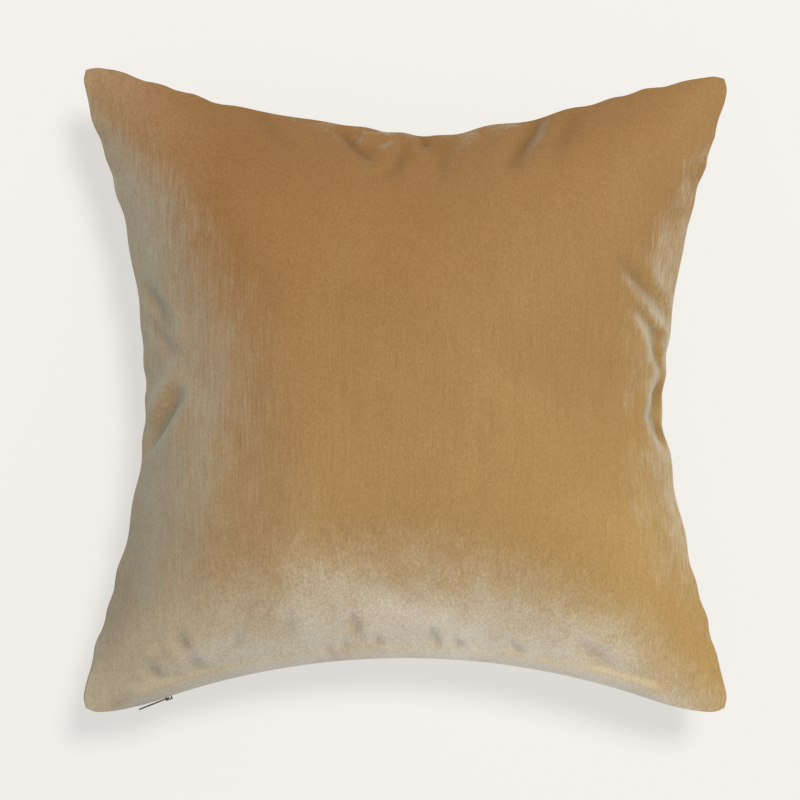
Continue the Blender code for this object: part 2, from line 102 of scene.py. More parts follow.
def seam_side(side, count):
    """One side of the seam line seen from above, as points spaced evenly along it."""
    t = np.linspace(-1, 1, SIDE_POINTS)
    tip = 1 - TIP_CUT * np.abs(t) ** TIP_POWER
    # the right ear hangs a little lower
    hang = EAR_DROP * eased((t - EAR_FROM) / EAR_SPAN)
    if side == "zip":
        x, y = HALF * t, -HALF + zip_draw(HALF * t)
    elif side == "top":
        # the deepest pull is a little to the right
        pull = TOP_PULL * (1 + TOP_SKEW * np.sin(math.pi * t))
        x, y = HALF * t, HALF - plain_draw(t, pull, "top") - hang
    elif side == "left":
        x, y = -HALF + plain_draw(t, LEFT_PULL, "left"), HALF * t
    else:
        x, y = HALF - plain_draw(t, RIGHT_PULL, "right"), HALF * t - hang
    x, y = x * tip, y * tip
    along = np.concatenate([[0.0], np.cumsum(np.hypot(np.diff(x), np.diff(y)))])
    at = np.linspace(0, along[-1], count + 1)
    return np.stack([np.interp(at, along, x), np.interp(at, along, y)], axis=1)


def placed(name, data):
    """A mesh, curve, lamp or camera set down in the scene."""
    made = bpy.data.objects.new(name, data)
    bpy.context.scene.collection.objects.link(made)
    return made


def filled_cover(cells, steps):
    """Blows the flat cut up between its fixed seam. Returns the two panels as grids of points."""
    u = np.linspace(-1, 1, cells + 1)
    U, V = np.meshgrid(u, u, indexing="ij")
    ring = {side: seam_side(side, cells) for side in ("zip", "top", "left", "right")}
    # the inside of each panel starts as a blend of the four sides
    a, b = ((1 + U) / 2)[..., None], ((1 + V) / 2)[..., None]
    left, right = ring["left"][None, :, :], ring["right"][None, :, :]
    low, high = ring["zip"][:, None, :], ring["top"][:, None, :]
    corner = (
        (1 - a) * (1 - b) * ring["zip"][0] + a * (1 - b) * ring["zip"][-1]
        + (1 - a) * b * ring["top"][0] + a * b * ring["top"][-1]
    )
    start = (1 - a) * left + a * right + (1 - b) * low + b * high - corner
    dome = ((1 - np.abs(U) ** DOME_POWER) * (1 - np.abs(V) ** DOME_POWER)) ** DOME_ROUND
    soft = np.random.default_rng(7).normal(0, START_NOISE, dome.shape) * dome
    bm = bmesh.new()
    verts = {}

    def vert(i, j, side):
        edge = i in (0, cells) or j in (0, cells)
        key = (i, j, 0 if edge else side)
        if key not in verts:
            z = side * (START_HEIGHT * dome[i, j] + soft[i, j])
            verts[key] = bm.verts.new((*start[i, j], 0.0 if edge else z))
        return verts[key]

    for side in (1, -1):
        for i in range(cells):
            for j in range(cells):
                around = ((i, j), (i + 1, j), (i + 1, j + 1), (i, j + 1))
                quad = [vert(*key, side) for key in around]
                bm.faces.new(quad if side > 0 else quad[::-1])
    bm.verts.index_update()
    order = {v.index: key for key, v in verts.items()}
    mesh = bpy.data.meshes.new("cover_blown")
    bm.to_mesh(mesh)
    bm.free()
    cover = placed("cover_blown", mesh)
    held = cover.vertex_groups.new(name="seam")
    held.add([i for i, k in order.items() if k[2] == 0], 1.0, "REPLACE")
    cloth = cover.modifiers.new("Filling", "CLOTH")
    cloth.settings.vertex_group_mass = "seam"
    cloth.settings.quality = 6
    cloth.settings.mass = 0.3
    cloth.settings.shrink_min = -EASE
    cloth.settings.tension_stiffness = 20
    cloth.settings.compression_stiffness = 20
    cloth.settings.shear_stiffness = 5
    cloth.settings.bending_stiffness = 2
    cloth.settings.tension_damping = 15
    cloth.settings.compression_damping = 15
    cloth.settings.shear_damping = 15
    cloth.settings.bending_damping = 2
    cloth.settings.air_damping = 2
    cloth.settings.use_pressure = True
    cloth.settings.uniform_pressure_force = PRESSURE
    cloth.settings.effector_weights.gravity = 0
    cloth.collision_settings.use_collision = False
    cloth.point_cache.frame_end = steps + 5
    for step in range(1, steps + 1):
        bpy.context.scene.frame_set(step)
    blown = cover.evaluated_get(bpy.context.evaluated_depsgraph_get()).to_mesh()
    points = np.empty(len(blown.vertices) * 3)
    blown.vertices.foreach_get("co", points)
    points = points.reshape(-1, 3)
    panels = []
    for side in (1, -1):
        grid = np.zeros((cells + 1, cells + 1, 3))
        for index, (i, j, layer) in order.items():
            if layer in (0, side):
                grid[i, j] = points[index]
        panels.append(grid)
    bpy.data.objects.remove(cover)
    bpy.context.scene.frame_set(1)
    return panels


def settled(grid, side):
    """The blown grid with its cell-sized ripple smoothed out, and the filling's own soft lumps."""
    for _ in range(SMOOTH_PASSES):
        inner = grid[1:-1, 1:-1]
        around = grid[:-2, 1:-1] + grid[2:, 1:-1] + grid[1:-1, :-2] + grid[1:-1, 2:]
        grid[1:-1, 1:-1] = 0.4 * inner + 0.15 * around
    x, y = grid[..., 0], grid[..., 1]
    lumps = np.zeros(x.shape)
    choose = np.random.default_rng(11 if side > 0 else 12)
    for _ in range(LUMP_COUNT):
        turn, size, shift = choose.uniform(0, math.pi), choose.uniform(0.07, 0.16), choose.uniform(0, 6.3)
        lumps += np.cos((x * math.cos(turn) + y * math.sin(turn)) * 2 * math.pi / size + shift)
    full = np.clip(np.abs(grid[..., 2]) / LUMP_FULL, 0, 1)
    grid[..., 2] += side * LUMP * lumps / LUMP_COUNT**0.5 * full
    return grid


front_grid, back_grid = filled_cover(CELLS, BLOW_STEPS)
front_grid, back_grid = settled(front_grid, 1), settled(back_grid, -1)


# ---------------------------------------------------------------- velvet panels
# Each panel is one piece of velvet about 1.4 mm thick: the outside, the fold at the seam and the
# 9 mm allowance turned inside. Small tucks pull in where the seam takes up more cloth.

CLOTH_THICKNESS = 0.0014
SEAM_GAP = 0.0010
FOLD_ROUND = 0.0005
FOLD_BULGE, FOLD_BULGE_RISE = 0.00012, 0.0008
FOLD_BEND, FOLD_BEND_RISE = 0.00005, 0.0003
ALLOWANCE = 0.0090
SLIT = 0.0024
SLIT_FROM, SLIT_TO, SLIT_FADE = -0.1950, 0.1780, 0.0120
SLIT_CALM, SLIT_CALM_REACH = 0.9, 0.03
ALLOWANCE_TURN = math.radians(50)
PANEL_LINES = 200
PANEL_REACH = 0.24
ROLL_HEIGHT, ROLL_DEPTH, ROLL_FADE = 0.0330, 0.0600, 0.0380
ROLL_FROM, ROLL_THIN = 0.008, 0.022
ROLL_BLEND, ROLL_BLEND_DEPTH = 0.0030, 0.010
HELD_FROM, HELD_FADE = 0.030, 0.030
RIPPLE, RIPPLE_START, RIPPLE_REACH = 0.00045, 0.004, 0.014
TUCK_STRENGTH, TUCK_LIP, TUCK_START = 1.5, 0.35, 0.006
CREASE_SHADING_FULL = 0.0026
FLOOR_SOFT = 0.0015


def closer_lines(count):
    """Grid lines from -1 to 1 that stand closer together towards the seams."""
    lines = np.linspace(-1, 1, count + 1)
    return 0.4 * lines + 0.6 * np.sin(np.pi / 2 * lines)


def at_lines(grid, lines):
    """The blown grid read at closer lines, on smooth curves through its points."""
    for _ in range(2):
        cells = len(grid) - 1
        place = (lines + 1) / 2 * cells
        base = np.clip(np.floor(place).astype(int), 0, cells - 1)
        t = (place - base)[:, None, None]
        more = np.concatenate([2 * grid[:1] - grid[1:2], grid, 2 * grid[-1:] - grid[-2:-1]])
        a, b, c, d = (more[base + k] for k in range(4))
        read = b + t / 2 * (c - a + t * (2 * a - 5 * b + 4 * c - d + t * (3 * (b - c) + d - a)))
        grid = read.transpose(1, 0, 2)
    return grid


def along_slit(x, fade):
    """1 along the zip's opening, 0 elsewhere, fading over this length past its ends."""
    return eased((x - SLIT_FROM) / fade + 1) * eased((SLIT_TO - x) / fade + 1)


def in_slit(x, v):
    """1 along the zip's opening, fading past its ends and away from its side."""
    return along_slit(x, SLIT_FADE) * np.maximum(0.0, -v) ** 8


def from_border(U, V):
    """About how far each point of a grid lies inside the seam, in metres."""
    return np.minimum(1 - np.abs(U), 1 - np.abs(V)) * PANEL_REACH


def outward(points):
    """The direction square to a grid of points at each of them."""
    n = np.cross(np.gradient(points, axis=0), np.gradient(points, axis=1))
    return n / np.maximum(1e-12, np.linalg.norm(n, axis=2, keepdims=True))


def facing_out(points, side):
    """The same directions, turned to the outside of a front or back panel."""
    n, middle = outward(points), len(points) // 2
    return -n if n[middle, middle, 2] * side < 0 else n


def to_line(points, a, b):
    """Distance seen from above to the line from a to b, and the share of the way along it."""
    a, b = np.array(a), np.array(b)
    t = np.clip(((points[..., :2] - a) @ (b - a)) / ((b - a) @ (b - a)), 0.0, 1.0)
    return np.linalg.norm(points[..., :2] - a - t[..., None] * (b - a), axis=-1), t


# from, to, half width and depth of each tuck on the front; a negative depth is a ridge
TUCKS = (
    ((-0.047, 0.193), (-0.026, 0.170), 0.0050, 0.0030),
    ((-0.034, 0.182), (-0.013, 0.192), 0.0035, -0.0018),
    ((0.002, 0.180), (-0.011, 0.156), 0.0060, 0.0016),
    ((0.014, 0.191), (0.016, 0.180), 0.0050, 0.0030),
    ((0.030, 0.186), (0.026, 0.160), 0.0090, 0.0014),
    ((0.102, 0.204), (0.078, 0.166), 0.0070, 0.0026),
    ((0.128, 0.208), (0.112, 0.178), 0.0080, 0.0014),
    ((-0.110, 0.208), (-0.094, 0.184), 0.0080, 0.0012),
    ((-0.192, -0.043), (-0.168, -0.006), 0.0055, 0.0034),
    ((-0.190, -0.020), (-0.172, 0.012), 0.0060, -0.0016),
    ((-0.192, 0.074), (-0.174, 0.046), 0.0055, 0.0022),
    ((-0.190, 0.052), (-0.172, 0.028), 0.0050, 0.0018),
    ((0.196, 0.052), (0.160, 0.090), 0.0060, 0.0020),
    ((0.194, 0.034), (0.170, 0.058), 0.0050, 0.0018),
    ((0.192, 0.014), (0.183, 0.038), 0.0045, 0.0022),
    ((0.192, 0.004), (0.186, -0.018), 0.0055, 0.0034),
    ((0.196, -0.038), (0.184, -0.022), 0.0055, 0.0030),
    ((-0.086, -0.166), (-0.083, -0.184), 0.0050, 0.0013),
    ((-0.038, -0.166), (-0.034, -0.187), 0.0034, 0.0022),
    ((-0.044, -0.189), (-0.041, -0.197), 0.0042, 0.0018),
    ((-0.056, -0.193), (-0.050, -0.203), 0.0036, 0.0016),
    ((-0.021, -0.184), (-0.017, -0.197), 0.0028, 0.0016),
    ((0.019, -0.178), (0.023, -0.193), 0.0034, 0.0021),
    ((0.037, -0.186), (0.043, -0.199), 0.0030, 0.0016),
    ((0.078, -0.188), (0.085, -0.199), 0.0036, 0.0014),
    ((-0.120, -0.178), (-0.126, -0.192), 0.0042, 0.0011),
    ((-0.166, -0.183), (-0.162, -0.193), 0.0050, 0.0020),
    ((-0.158, -0.199), (-0.152, -0.208), 0.0050, 0.0018),
    ((-0.190, -0.206), (-0.184, -0.214), 0.0050, 0.0018),
    ((0.150, -0.204), (0.128, -0.188), 0.0060, 0.0014),
    ((-0.047, -0.100), (-0.038, -0.111), 0.0026, 0.0005),
    ((-0.040, -0.102), (-0.034, -0.107), 0.0022, -0.0004),
    ((-0.024, -0.098), (-0.019, -0.110), 0.0026, 0.0004),
)


def tucked(points, normals, side):
    """Moves the cloth in along each tuck, with a low lip beside it, and says how sharp each fold is, for
    the painted shade down in it and the painted highlight on a ridge.
    """
    move, crease_shading = np.zeros((2, *points.shape[:2]))
    for a, b, width, depth in TUCKS:
        if side < 0:
            a, b = (-a[0], a[1]), (-b[0], b[1])
        d, t = to_line(points, a, b)
        end = np.sin(np.pi * (0.12 + 0.76 * t)) ** 0.7
        lip = np.exp(-(((d - 2 * width) / width) ** 2))
        move -= TUCK_STRENGTH * depth * end * (np.exp(-((d / width) ** 2)) - TUCK_LIP * lip)
        # painted shade down each crease, painted highlight along each ridge
        crease_shading += np.clip(depth / CREASE_SHADING_FULL, -1, 1) * end * np.exp(-((1.5 * d / width) ** 2))
    return points + normals * move[..., None], crease_shading


def velvet_panel(grid, side):
    """A panel's outside: its lines, its points, half its gap at the seam and the painted shading of its
    creases.
    """
    lines = closer_lines(PANEL_LINES)
    U, V = np.meshgrid(lines, lines, indexing="ij")
    points = at_lines(grid, lines)
    near = np.maximum(1 - np.abs(U), 0) * np.maximum(1 - np.abs(V), 0)
    # seam tucks: the stitched edge takes up a little more cloth than it is long
    along = np.where(1 - np.abs(U) < 1 - np.abs(V), points[..., 1], points[..., 0])
    inward = from_border(U, V)
    wave = np.sin(along * 390 + 3 * np.sin(along * 47))
    wave += 0.7 * np.sin(along * 610 + 2 * np.sin(along * 83) + side)
    wave *= 0.6 + 0.4 * np.sin(along * 59 + 1.3 * side)
    wave *= RIPPLE * eased(inward / RIPPLE_START) * np.exp(-inward / RIPPLE_REACH)
    top = (FRONT_HEIGHT if side > 0 else BACK_DEPTH) - SEAM_GAP / 2 - CLOTH_THICKNESS
    points[..., 2] *= top / (side * points[..., 2]).max()
    normals = facing_out(points, side)
    # the zip's edges are held flat, so they ripple far less
    edge = np.where(inward < SLIT_CALM_REACH, V, 0)
    calm = (1 - SLIT_CALM * in_slit(points[..., 0], edge))[..., None]
    points = points + normals * (wave * (near > 0))[..., None] * calm
    points, crease_shading = tucked(points, normals * eased(inward / TUCK_START)[..., None], side)
    fold = (SEAM_GAP + in_slit(points[..., 0], V) * (SLIT - SEAM_GAP)) / 2
    height = fold + CLOTH_THICKNESS + np.maximum(0, side * points[..., 2])
    # the zip's tapes stand inside its edge and hold the cloth out in a fuller roll
    x = points[..., 0]
    depth = points[..., 1] + HALF - zip_draw(x)
    roll = ROLL_HEIGHT * np.sqrt(1 - (1 - np.clip(depth / ROLL_DEPTH, 0, 1)) ** 2)
    roll *= along_slit(x, ROLL_FADE)
    roll *= 1 - eased((depth - ROLL_FROM) / ROLL_THIN)
    blend = ROLL_BLEND * eased(depth / ROLL_BLEND_DEPTH)
    held_out = (height + roll + np.sqrt((height - roll) ** 2 + blend**2)) / 2
    height = height + (held_out - height) * (1 - eased((depth - HELD_FROM) / HELD_FADE))
    height = np.where(near == 0, fold + CLOTH_THICKNESS, height)
    if side < 0:
        # the back panel flattens softly where it lies on the floor
        height = SEAM_HEIGHT - FLOOR_SOFT * np.logaddexp(0, (SEAM_HEIGHT - height) / FLOOR_SOFT)
        height[near == 0] = (fold + CLOTH_THICKNESS)[near == 0]
    points[..., 2] = side * height
    return lines, points, fold, crease_shading


def ring_of(grid):
    """The border of a grid, once round."""
    return np.concatenate([grid[:-1, 0], grid[-1, :-1], grid[:0:-1, -1], grid[0, :0:-1]])


def quads(ids):
    """The four-sided faces of a grid of point numbers."""
    return np.stack([ids[:-1, :-1], ids[1:, :-1], ids[1:, 1:], ids[:-1, 1:]], axis=-1).reshape(-1, 4)


def panel_mesh(name, grid, side):
    """One velvet panel as a closed body: outside, fold, turned-in allowance and inside."""
    lines, outer, fold, crease_shading = velvet_panel(grid, side)
    count = len(lines)
    inner = outer - facing_out(outer, side) * CLOTH_THICKNESS
    border, gap = ring_of(outer), ring_of(fold)
    tangent = np.roll(border, -1, axis=0) - np.roll(border, 1, axis=0)
    inside = np.stack([-tangent[:, 1], tangent[:, 0]], axis=1)
    inside /= np.linalg.norm(inside, axis=1, keepdims=True)
    turn = ALLOWANCE_TURN * ring_of(in_slit(outer[..., 0], np.meshgrid(lines, lines, indexing="ij")[1]))

    def loop(inset, z):
        flat = border[:, :2] + inside * np.asarray(inset).reshape(-1, 1)
        return np.column_stack([flat, side * (z + np.zeros(len(border)))])

    reach = FOLD_ROUND + ALLOWANCE * np.cos(turn)
    rise = gap + ALLOWANCE * np.sin(turn)
    loops = [
        border,
        loop(-FOLD_BULGE, gap + FOLD_BULGE_RISE),
        loop(FOLD_BEND, gap + FOLD_BEND_RISE),
        loop(FOLD_ROUND, gap),
        loop(reach, rise),
        loop(reach - CLOTH_THICKNESS * np.sin(turn), rise + CLOTH_THICKNESS * np.cos(turn)),
    ]
    inner_ring = loop(CLOTH_THICKNESS, gap + CLOTH_THICKNESS)
    inner[0, :], inner[-1, :], inner[:, 0], inner[:, -1] = 0, 0, 0, 0
    ids = np.arange(count * count).reshape(count, count)
    faces = [quads(ids)]
    points = [outer.reshape(-1, 3)]
    rings = [ring_of(ids)]
    total = count * count
    for ring in loops[1:]:
        points.append(ring)
        rings.append(total + np.arange(len(ring)))
        total += len(ring)
    inner_ids = ids + total
    inner_border = ring_of(inner_ids)
    flat = inner.reshape(-1, 3)
    flat[inner_border - total] = inner_ring
    points.append(flat)
    faces.append(quads(inner_ids)[:, ::-1])
    rings.append(inner_border)
    for a, b in zip(rings, rings[1:]):
        faces.append(np.stack([a, b, np.roll(b, -1), np.roll(a, -1)], axis=1))
    faces = np.concatenate(faces)
    if side < 0:
        faces = faces[:, ::-1]
    points = np.concatenate(points) + (0, 0, SEAM_HEIGHT)
    mesh = bpy.data.meshes.new(name)
    mesh.from_pydata(points.tolist(), [], faces.tolist())
    mesh.shade_smooth()
    # the creases' painted shade and the ridges' painted highlight, carried on the outside's points
    wear_and_shade = np.zeros(len(points), dtype=np.float32)
    wear_and_shade[: count * count] = crease_shading.ravel()
    mesh.attributes.new("crease_shading", "FLOAT", "POINT").data.foreach_set("value", wear_and_shade)
    return placed(name, mesh)


def new_material(name):
    """A material, with its shader and its links."""
    made = bpy.data.materials.new(name)
    made.use_nodes = True
    return made, made.node_tree.nodes["Principled BSDF"], made.node_tree.links


# three golds, shaded, middle and lit copies of one velvet colour, then the painted sheen and shade
# colours where the surface turns away or the pile lies over
GOLD_SHADED = (0.284, 0.144, 0.051)
GOLD = (0.358, 0.212, 0.084)
GOLD_LIT = (0.440, 0.280, 0.103)
BROWN_SHADE = (0.270, 0.142, 0.053)
BEIGE_SHEEN = (0.660, 0.570, 0.410)
PALE_SHEEN = (0.860, 0.830, 0.750)
GREY_BROWN_SHADE = (0.350, 0.285, 0.190)
GREY_GREEN_SHADE_SHEEN = (0.400, 0.385, 0.300)
CREAM_LIT_SHEEN = (0.600, 0.550, 0.430)


class Nodes:
    """Adds shader nodes to one material and joins them up."""

    def __init__(self, made):
        self.tree = made.node_tree
        self.place = self.tree.nodes.new("ShaderNodeTexCoord")

    def join(self, value, socket):
        if isinstance(value, (int, float)):
            socket.default_value = value
        elif isinstance(value, tuple):
            socket.default_value = (*value, 1)[: len(socket.default_value)]
        else:
            self.tree.links.new(value, socket)

    def sum(self, operation, a, b=0.0, c=0.0):
        made = self.tree.nodes.new("ShaderNodeMath")
        made.operation = operation
        for value, socket in zip((a, b, c), made.inputs):
            self.join(value, socket)
        return made.outputs[0]

    def stretched(self, scale, turn=(0, 0, 0)):
        made = self.tree.nodes.new("ShaderNodeMapping")
        made.inputs["Scale"].default_value = scale
        made.inputs["Rotation"].default_value = turn
        self.tree.links.new(self.place.outputs["Object"], made.inputs["Vector"])
        return made.outputs[0]

    def noise(self, vector, scale, detail=2.0, roughness=0.5, distortion=0.0):
        made = self.tree.nodes.new("ShaderNodeTexNoise")
        look = {"Scale": scale, "Detail": detail, "Roughness": roughness, "Distortion": distortion}
        for name, value in look.items():
            made.inputs[name].default_value = value
        self.tree.links.new(vector, made.inputs["Vector"])
        return made.outputs["Fac"]

    def fade(self, value, start, end, low=0.0, high=1.0, smooth=True):
        made = self.tree.nodes.new("ShaderNodeMapRange")
        made.interpolation_type = "SMOOTHSTEP" if smooth else "LINEAR"
        self.join(value, made.inputs["Value"])
        for name, number in (("From Min", start), ("From Max", end), ("To Min", low), ("To Max", high)):
            made.inputs[name].default_value = number
        return made.outputs["Result"]

    def about(self, noise, reach):
        """The noise spread evenly about nought."""
        return self.fade(noise, 0.3, 0.7, -reach, reach, False)

    def mix(self, share, a, b):
        made = self.tree.nodes.new("ShaderNodeMix")
        made.data_type = "RGBA"
        self.join(share, made.inputs["Factor"])
        self.join(a, made.inputs["A"])
        self.join(b, made.inputs["B"])
        return made.outputs["Result"]

    def apart(self, vector):
        made = self.tree.nodes.new("ShaderNodeSeparateXYZ")
        self.tree.links.new(vector, made.inputs[0])
        return made.outputs

    def bump(self, height, distance, strength=1.0, normal=None):
        made = self.tree.nodes.new("ShaderNodeBump")
        made.inputs["Distance"].default_value = distance
        made.inputs["Strength"].default_value = strength
        self.join(height, made.inputs["Height"])
        if normal is not None:
            self.join(normal, made.inputs["Normal"])
        return made.outputs["Normal"]


def velvet():
    """Cut pile that leans towards the zip side, with light, shade and sheen painted into its colour: gold
    looking into it, painted silver sheen where it turns away.
    """
    made, shader, links = new_material("velvet")
    shader.inputs["Specular IOR Level"].default_value = 0.10
    shader.inputs["Sheen Weight"].default_value = 0.25
    shader.inputs["Sheen Roughness"].default_value = 0.30
    shader.inputs["Sheen Tint"].default_value = (0.95, 0.88, 0.74, 1)
    n = Nodes(made)
    at = n.place.outputs["Object"]
    x, y, _ = n.apart(at)
    nx, ny, _ = n.apart(n.place.outputs["Normal"])
    brushed = n.noise(n.stretched((1.0, 0.6, 1.0)), 11.0, 3.0, 0.55, 0.4)
    patch = n.noise(n.stretched((1.0, 0.7, 1.0)), 46.0, 4.0, 0.62, 0.6)
    streak = n.noise(n.stretched((1.0, 0.055, 1.0)), 620.0, 3.0, 0.6)
    long_streak = n.noise(n.stretched((1.0, 0.02, 1.0)), 210.0, 3.0, 0.6)
    tuft = n.noise(at, 1500.0, 2.0, 0.6)
    # how far the surface leans, roughened by the way the pile was last brushed
    stir = n.sum("ADD", n.about(patch, 0.07), n.about(brushed, 0.09))
    stir = n.sum("ADD", stir, n.about(streak, 0.07))
    # painted sheen and shade by which way the surface faces, from its normal: silver towards the zip
    # side, grey on the left, cream on the right, brown towards the top
    down = n.fade(n.sum("ADD", n.sum("MULTIPLY", ny, -1.0), stir), 0.40, 1.05)
    left = n.fade(n.sum("ADD", n.sum("MULTIPLY", nx, -1.0), stir), 0.28, 0.98)
    right = n.fade(n.sum("ADD", nx, stir), 0.62, 1.08)
    up = n.fade(n.sum("ADD", ny, stir), 0.15, 0.85)
    # painted silver sheen where the pile lies over, in a band along the zip side, which thins out to the
    # right and at the left corner
    thinner = n.sum("MULTIPLY", n.sum("MULTIPLY", x, x), n.sum("MULTIPLY_ADD", x, 2.9, 1.5))
    in_sheen_band = n.sum("SUBTRACT", n.sum("MULTIPLY_ADD", stir, 0.10, n.sum("MULTIPLY", y, -1.0)), thinner)
    sheen_band = n.fade(in_sheen_band, 0.085, 0.188)
    beside = n.sum("MULTIPLY_ADD", stir, 0.12, n.sum("SUBTRACT", n.sum("MULTIPLY", y, -0.3), x))
    beside = n.fade(beside, 0.070, 0.240)
    # the gold, with painted light making it lighter to the right and painted sheen making it lighter
    # towards the zip
    across = n.sum("MULTIPLY", x, n.sum("MULTIPLY_ADD", n.sum("ABSOLUTE", x), 3.2, 0.9))
    light_and_sheen = n.sum("ADD", across, n.sum("MULTIPLY", y, -1.75))
    light_and_sheen = n.sum("ADD", light_and_sheen, n.about(brushed, 0.12))
    colour = n.mix(n.fade(light_and_sheen, -0.45, 0.10, smooth=False), GOLD_SHADED, GOLD)
    colour = n.mix(n.fade(light_and_sheen, 0.05, 0.50, smooth=False), colour, GOLD_LIT)
    # painted shade: browner where the surface tilts towards the top
    colour = n.mix(n.sum("MULTIPLY", up, 0.45), colour, BROWN_SHADE)
    # painted sheen beside the zip side and in the band along it
    colour = n.mix(n.sum("MULTIPLY", beside, 0.34), colour, BEIGE_SHEEN)
    colour = n.mix(n.sum("MULTIPLY", sheen_band, 0.86), colour, BEIGE_SHEEN)
    # painted shade and sheen where it tilts left, painted light and sheen where it tilts right, painted
    # sheen where it tilts towards the zip
    colour = n.mix(n.sum("MULTIPLY", left, 0.80), colour, GREY_GREEN_SHADE_SHEEN)
    colour = n.mix(n.sum("MULTIPLY", right, 0.85), colour, CREAM_LIT_SHEEN)
    colour = n.mix(n.sum("MULTIPLY", down, 0.66), colour, PALE_SHEEN)
    # painted shade on the steepest slopes towards the top, painted sheen on the steepest towards the zip
    colour = n.mix(n.fade(n.sum("ADD", ny, stir), 0.84, 1.02, 0.0, 0.75), colour, GREY_BROWN_SHADE)
    colour = n.mix(n.fade(n.sum("SUBTRACT", stir, ny), 0.86, 1.04, 0.0, 0.75), colour, PALE_SHEEN)
    # pile tufts and brush lines; darker towards the zip side's left end, with painted shade in the
    # creases and painted highlight on the ridges
    clump = n.noise(n.stretched((1.0, 0.6, 1.0)), 640.0, 2.0, 0.6)
    fine = n.fade(tuft, 0.25, 0.75, 0.80, 1.20, False)
    speck = n.noise(n.stretched((1.0, 0.5, 1.0), (0, 0, 0.05)), 1050.0, 2.0, 0.7)
    fine = n.sum("MULTIPLY", fine, n.fade(speck, 0.62, 0.78, 1.0, 1.30))
    fine = n.sum("MULTIPLY", fine, n.fade(clump, 0.25, 0.75, 0.90, 1.10, False))
    left_end = n.sum("SUBTRACT", n.sum("MULTIPLY", y, -0.8), x)
    fine = n.sum("MULTIPLY", fine, n.fade(left_end, 0.13, 0.37, 1.0, 0.68, False))
    # the creases darken and the ridges lighten: painted shade and painted highlight
    crease_shading = n.tree.nodes.new("ShaderNodeAttribute")
    crease_shading.attribute_name = "crease_shading"
    fine = n.sum("MULTIPLY", fine, n.fade(crease_shading.outputs["Fac"], 0.0, 1.0, 1.0, 0.74, False))
    fine = n.sum("MULTIPLY", fine, n.fade(crease_shading.outputs["Fac"], -1.0, 0.0, 1.14, 1.0, False))
    fine = n.sum("MULTIPLY", fine, n.fade(streak, 0.25, 0.75, 0.94, 1.06, False))
    fine = n.sum("MULTIPLY", fine, n.fade(long_streak, 0.25, 0.75, 0.97, 1.03, False))
    tone = n.tree.nodes.new("ShaderNodeVectorMath")
    tone.operation = "SCALE"
    links.new(colour, tone.inputs[0])
    links.new(fine, tone.inputs["Scale"])
    links.new(tone.outputs[0], shader.inputs["Base Color"])
    n.join(n.fade(tuft, 0.2, 0.8, 0.72, 0.95, False), shader.inputs["Roughness"])
    pile = n.sum("ADD", tuft, n.sum("MULTIPLY", streak, 0.8))
    links.new(n.bump(patch, 0.0012, 0.35, n.bump(pile, 0.00025, 0.6)), shader.inputs["Normal"])
    return made


velvet_finish = velvet()
front_panel = panel_mesh("velvet_front_panel", front_grid, 1)
back_panel = panel_mesh("velvet_back_panel", back_grid, -1)
for panel, node, case in (
    (front_panel, "front_panel", "insert_case_front"), (back_panel, "back_panel", "insert_case_back"),
):
    panel.data.materials.append(velvet_finish)
    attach(panel, "pillow")
    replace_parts(panel, node)


# ---------------------------------------------------------------- seam stitches
# Polyester thread, about half a millimetre thick, locks the two allowances together 1.6 mm
# inside the fold. Down in the groove it shows as short bars that cross from panel to panel.

THREAD = 0.0005
STITCH_INSET = 0.0016
STITCH_LENGTH, STITCH_SWING = 0.0028, 0.00021
SEAM_END = 0.2401
ZIP_SEAM_LEFT, ZIP_SEAM_RIGHT = -0.2071, 0.1902


def seam_path(side, inset, start, end, step):
    """Points along one side, inset from the seam line, between two places measured along it."""
    plan = seam_side(side, PLAN_POINTS)
    along = plan[:, 0] if side in ("zip", "top") else plan[:, 1]
    tangent = np.gradient(plan, axis=0)
    inward = np.stack([-tangent[:, 1], tangent[:, 0]], axis=1)
    inward *= -np.sign((inward * plan).sum(axis=1, keepdims=True))
    inward /= np.linalg.norm(inward, axis=1, keepdims=True)
    line = plan + inward * inset
    length = np.concatenate([[0.0], np.cumsum(np.linalg.norm(np.diff(line, axis=0), axis=1))])
    first, last = np.interp([start, end], along, length)
    at = np.linspace(first, last, max(2, int(round((last - first) / step)) + 1))
    return np.stack([np.interp(at, length, line[:, 0]), np.interp(at, length, line[:, 1])], axis=1)


def thread_curve(name, splines, diameter):
    """Round thread or wire along each list of points."""
    data = bpy.data.curves.new(name, "CURVE")
    data.dimensions = "3D"
    data.bevel_depth = diameter / 2
    data.bevel_resolution = 1
    data.use_fill_caps = True
    data.resolution_u = 2
    for points in splines:
        spline = data.splines.new("POLY")
        spline.points.add(len(points) - 1)
        spline.points.foreach_set("co", np.column_stack([points, np.ones(len(points))]).ravel())
        spline.use_smooth = True
    return placed(name, data)


def spun_thread(name, colour, twist):
    made, shader, links = new_material(name)
    shader.inputs["Specular IOR Level"].default_value = 0.35
    shader.inputs["Sheen Weight"].default_value = 0.2
    n = Nodes(made)
    ply = n.noise(n.place.outputs["Object"], twist, 2.0, 0.6)
    hair = n.noise(n.place.outputs["Object"], 5200.0, 2.0, 0.6)
    shade = n.mix(n.fade(ply, 0.35, 0.65), tuple(0.72 * c for c in colour), colour)
    fuzzy = n.mix(n.fade(hair, 0.45, 0.75, 0.0, 0.35), shade, (0.75, 0.68, 0.55))
    links.new(fuzzy, shader.inputs["Base Color"])
    n.join(n.fade(ply, 0.2, 0.8, 0.48, 0.72, False), shader.inputs["Roughness"])
    links.new(n.bump(ply, 0.00006, 0.7), shader.inputs["Normal"])
    return made


